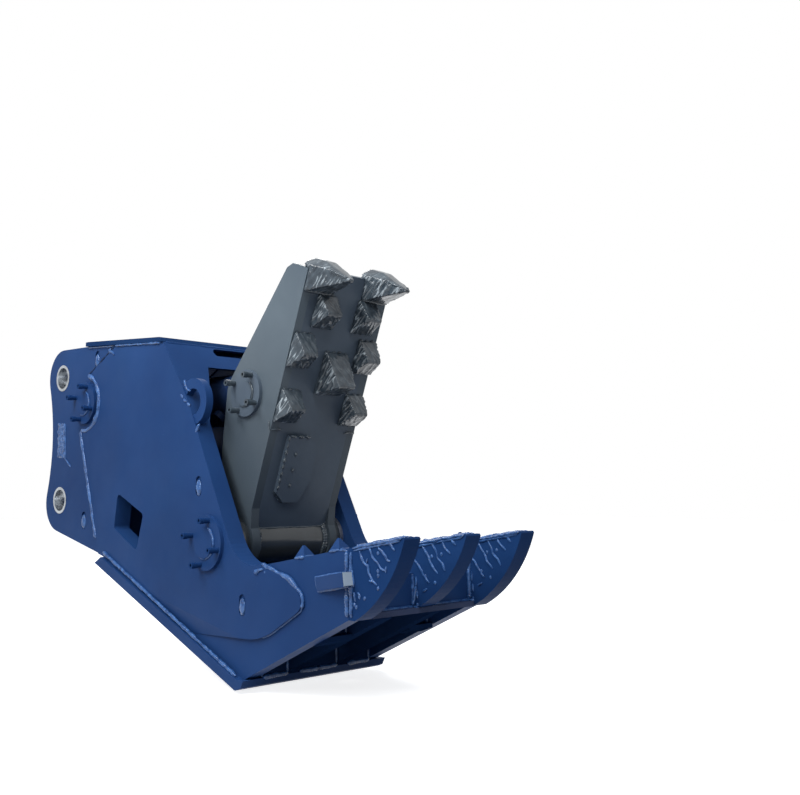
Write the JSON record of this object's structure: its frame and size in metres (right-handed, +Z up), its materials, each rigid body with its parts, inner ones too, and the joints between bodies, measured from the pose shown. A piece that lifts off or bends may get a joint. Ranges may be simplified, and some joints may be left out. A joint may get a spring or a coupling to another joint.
{
  "type": "concrete pulverizer",
  "caption": "Hydraulic concrete pulverizer: a welded frame with a fixed lower jaw, and a toothed jaw on a pivot pin closed by a cylinder inside.",
  "frame": {"origin": "centre of the upper mounting bore, on the middle plane between the two ears", "axes": "+X forward from the mounting ears to the teeth, +Y across to the machine's left, +Z up"},
  "size_m": [1.9392, 0.656, 1.2953],
  "materials": {
    "frame_paint": "satin",
    "tooth_paint": "gloss",
    "floor_paint": "satin",
    "screw_paint": "gloss",
    "barrel_paint": "gloss",
    "jaw_paint": "satin",
    "jaw_teeth_paint": "gloss",
    "jaw_screw_paint": "gloss",
    "bare_steel": "machined",
    "gland_steel": "machined",
    "rod_chrome": "polished"
  },
  "bodies": {
    "frame": {"side_plate_right": "frame_paint", "side_plate_left": "frame_paint", "cheek_plate_right": "frame_paint", "cheek_plate_left": "frame_paint", "ear_plate_right": "frame_paint", "ear_plate_left": "frame_paint", "arm_pin_bushes": "bare_steel", "link_pin_bushes": "bare_steel", "top_cover": "frame_paint", "front_panel": "frame_paint", "bottom_plate": "frame_paint", "rear_plate": "frame_paint", "rib_right": "frame_paint", "rib_left": "frame_paint", "foot_walls": "frame_paint", "bay_shelves": "frame_paint", "floor_plate": "floor_paint", "tooth_walls": "frame_paint", "middle_plate": "frame_paint", "throat_plate": "frame_paint", "rim_teeth": "frame_paint", "lower_tooth_right": "tooth_paint", "lower_tooth_centre": "tooth_paint", "lower_tooth_left": "tooth_paint", "wear_blocks": "frame_paint", "lifting_eye": "frame_paint", "pivot_pin": "bare_steel", "pivot_cover_right": "frame_paint", "pivot_cover_left": "frame_paint", "pivot_screws": "screw_paint", "thrust_rings": "bare_steel", "rear_pin": "bare_steel", "rear_pin_bosses": "frame_paint", "rear_pin_cover_right": "frame_paint", "rear_pin_cover_left": "frame_paint", "rear_pin_screws": "screw_paint"},
    "jaw": {"jaw_side_right": "jaw_paint", "jaw_side_left": "jaw_paint", "jaw_front_plate": "jaw_paint", "jaw_back_plate": "jaw_paint", "jaw_hub": "jaw_paint", "hub_bushes": "bare_steel", "claw_right": "jaw_teeth_paint", "claw_left": "jaw_teeth_paint", "jaw_teeth_second_row": "jaw_teeth_paint", "jaw_teeth_third_row": "jaw_teeth_paint", "jaw_tooth_centre": "jaw_teeth_paint", "jaw_teeth_fourth_row": "jaw_teeth_paint", "jaw_pad": "jaw_paint", "jaw_pin_bosses": "jaw_paint", "jaw_stub_pins": "bare_steel", "jaw_pin_cover_right": "jaw_paint", "jaw_pin_cover_left": "jaw_paint", "jaw_pin_screws": "jaw_screw_paint"},
    "cylinder_barrel": {"barrel": "barrel_paint", "barrel_bush": "bare_steel", "gland": "gland_steel"},
    "cylinder_rod": {"piston": "bare_steel", "rod": "rod_chrome", "rod_eye_bush": "bare_steel"}
  },
  "joints": [
    {"name": "jaw_hinge", "type": "hinge", "parent": "frame", "child": "jaw", "pos_m": [0.98, 0, -0.585], "axis": [0, 1, 0], "range_deg": [0, 55.9]},
    {"name": "barrel_swing", "type": "hinge", "parent": "frame", "child": "cylinder_barrel", "pos_m": [0.185, 0, -0.106], "axis": [0, 1, 0], "range_deg": [0, 11.58]},
    {"name": "rod_slide", "type": "slide", "parent": "cylinder_barrel", "child": "cylinder_rod", "axis": [0.9999, 0, -0.0108], "range_m": [0, 0.39197]}
  ],
  "couplings": [
    {"joint": "barrel_swing", "follows": "jaw_hinge", "ratio": 0.20717},
    {"joint": "rod_slide", "follows": "jaw_hinge", "m_per_rad": 0.40175}
  ]
}
